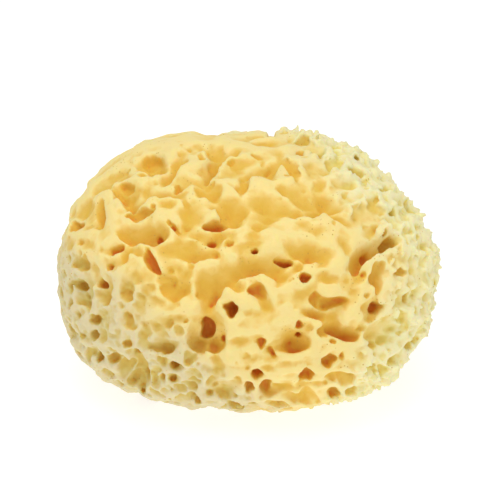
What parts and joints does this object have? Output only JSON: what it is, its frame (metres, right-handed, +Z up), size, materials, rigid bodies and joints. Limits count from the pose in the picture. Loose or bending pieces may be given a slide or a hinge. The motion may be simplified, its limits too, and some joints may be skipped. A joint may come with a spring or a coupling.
{
  "type": "sea sponge",
  "caption": "Rounded natural bath sponge with folded skin, open holes and small cells, cut off flat underneath so that it rests on a surface.",
  "frame": {"origin": "centre of the bounding box, at the flat cut that the sponge rests on", "axes": "+Z up from the cut, +X along the sponge's width, -Y towards its smoother front"},
  "size_m": [0.1502, 0.1256, 0.1015],
  "materials": {
    "sponge_skeleton": "matte"
  },
  "bodies": {
    "root": {"sponge": "sponge_skeleton"}
  },
  "joints": []
}
